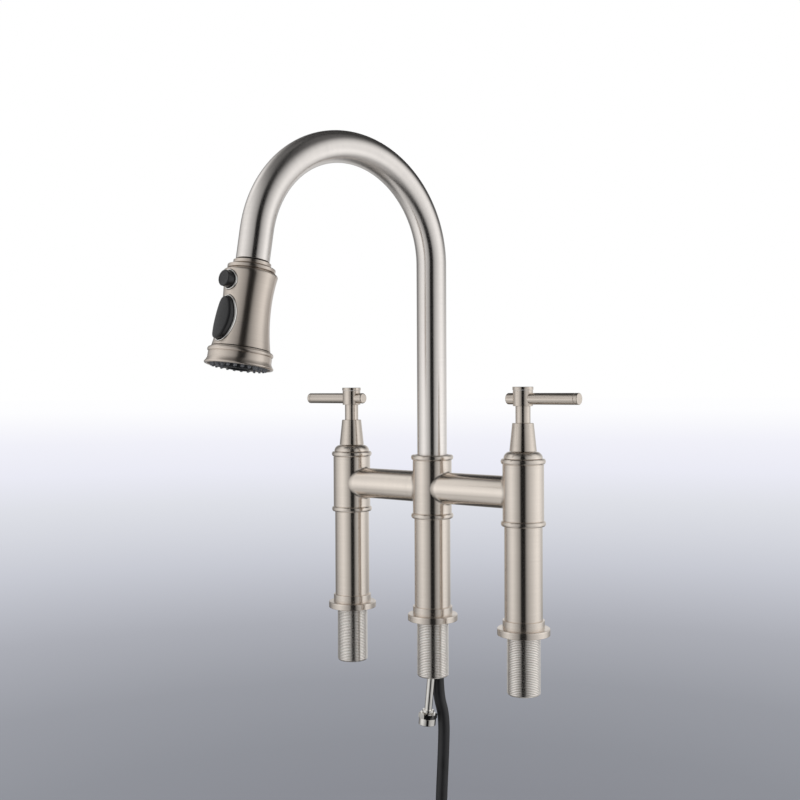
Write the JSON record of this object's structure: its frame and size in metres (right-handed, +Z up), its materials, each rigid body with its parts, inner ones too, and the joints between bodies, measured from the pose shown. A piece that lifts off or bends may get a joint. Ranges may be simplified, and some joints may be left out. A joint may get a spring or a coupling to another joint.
{
  "type": "bridge kitchen faucet",
  "caption": "Deck-mounted bridge kitchen faucet with lever valve handles, a swivelling gooseneck spout and a pull-down spray head, its hose hanging in a coil below the deck.",
  "frame": {"origin": "axis of the centre column at the top of the deck, where the centre shank leaves its flange", "axes": "+X along the bridge to the right-hand valve, -Y towards the user in front of the sink, +Z up"},
  "size_m": [0.3172, 0.2606, 0.7582],
  "materials": {
    "brushed_nickel": "warm brushed nickel plate over brass, fine brushing",
    "polished_nickel": "polished nickel plate",
    "brass": "plain machined brass",
    "ceramic": "ground white ceramic",
    "grey_acetal": "moulded grey acetal",
    "black_plastic": "black satin moulding",
    "face_plastic": "dark grey satin moulding",
    "nozzle_rubber": "light grey silicone rubber",
    "black_rubber": "black moulded rubber",
    "spring_steel": "bare spring wire",
    "black_hose": "smooth black sheath over a braided hose"
  },
  "bodies": {
    "faucet_body": {"centre_hub": "brushed_nickel", "left_valve_body": "brushed_nickel", "right_valve_body": "brushed_nickel", "left_bridge_tube": "brushed_nickel", "right_bridge_tube": "brushed_nickel", "bridge_nipples": "brass", "left_leg": "brushed_nickel", "centre_leg": "brushed_nickel", "right_leg": "brushed_nickel", "left_foot": "brushed_nickel", "centre_foot": "brushed_nickel", "right_foot": "brushed_nickel", "left_shank": "brushed_nickel", "centre_shank": "brushed_nickel", "right_shank": "brushed_nickel", "foot_gaskets": "black_rubber", "left_bonnet": "brushed_nickel", "right_bonnet": "brushed_nickel", "cartridge_shells": "brass", "fixed_discs": "ceramic", "outlet_tube": "polished_nickel", "spout_bushes": "grey_acetal", "hose_lower": "black_hose", "hose_free": "black_hose", "hose_coil": "black_hose", "hose_connector": "polished_nickel", "coil_ties": "black_plastic"},
    "spout": {"spout_tube": "brushed_nickel", "spout_journal": "brass", "docking_sleeve": "grey_acetal", "hose_upper": "black_hose"},
    "hose_end": {"hose_swivel": "brass", "hose_pull": "black_hose"},
    "spray_head": {"spray_neck": "brushed_nickel", "spray_shell": "brushed_nickel", "spray_skirt": "brushed_nickel", "spray_core": "grey_acetal", "face_plate": "face_plastic", "spray_nozzles": "nozzle_rubber", "control_bezels": "polished_nickel", "button_spring": "spring_steel"},
    "round_button": {"round_button": "black_plastic"},
    "oval_pad": {"oval_pad": "black_plastic"},
    "outlet_nut": {"outlet_nut": "polished_nickel"},
    "left_handle": {"left_handle_cone": "brushed_nickel", "left_handle_post": "brushed_nickel", "left_lever": "brushed_nickel", "left_handle_caps": "brushed_nickel", "left_spindle": "brass", "left_turning_disc": "ceramic"},
    "right_handle": {"right_handle_cone": "brushed_nickel", "right_handle_post": "brushed_nickel", "right_lever": "brushed_nickel", "right_handle_caps": "brushed_nickel", "right_spindle": "brass", "right_turning_disc": "ceramic"}
  },
  "joints": [
    {"name": "spout_swivel", "type": "hinge", "parent": "faucet_body", "child": "spout", "pos_m": [0, 0, 0.1442], "axis": [0, 0, 1], "continuous": true},
    {"name": "head_pull", "type": "slide", "parent": "spout", "child": "hose_end", "axis": [-0.0291, -0.1572, -0.9871], "range_m": [0, 0.4], "deforming": ["hose_pull"]},
    {"name": "head_spin", "type": "hinge", "parent": "hose_end", "child": "spray_head", "pos_m": [-0.03617, -0.19516, 0.32447], "axis": [-0.0291, -0.1572, -0.9871], "continuous": true},
    {"name": "button_press", "type": "slide", "parent": "spray_head", "child": "round_button", "axis": [0.0587, 0.9856, -0.1587], "range_m": [0, 0.002], "stiffness_N_per_m": 900, "springref_m": -0.001, "deforming": ["button_spring"]},
    {"name": "pad_rock", "type": "hinge", "parent": "spray_head", "child": "oval_pad", "pos_m": [-0.03868, -0.22009, 0.27584], "axis": [0.9978, -0.0626, -0.0195], "range_deg": [-3, 3]},
    {"name": "left_handle_turn", "type": "hinge", "parent": "faucet_body", "child": "left_handle", "pos_m": [-0.1016, 0, 0.1629], "axis": [0, 0, 1], "range_deg": [0, 90]},
    {"name": "right_handle_turn", "type": "hinge", "parent": "faucet_body", "child": "right_handle", "pos_m": [0.1016, 0, 0.1629], "axis": [0, 0, 1], "range_deg": [-90, 0]},
    {"name": "outlet_nut_spin", "type": "hinge", "parent": "faucet_body", "child": "outlet_nut", "pos_m": [-0.00141, -0.00631, -0.08885], "axis": [-0.0702, -0.0573, -0.9959], "continuous": true}
  ]
}
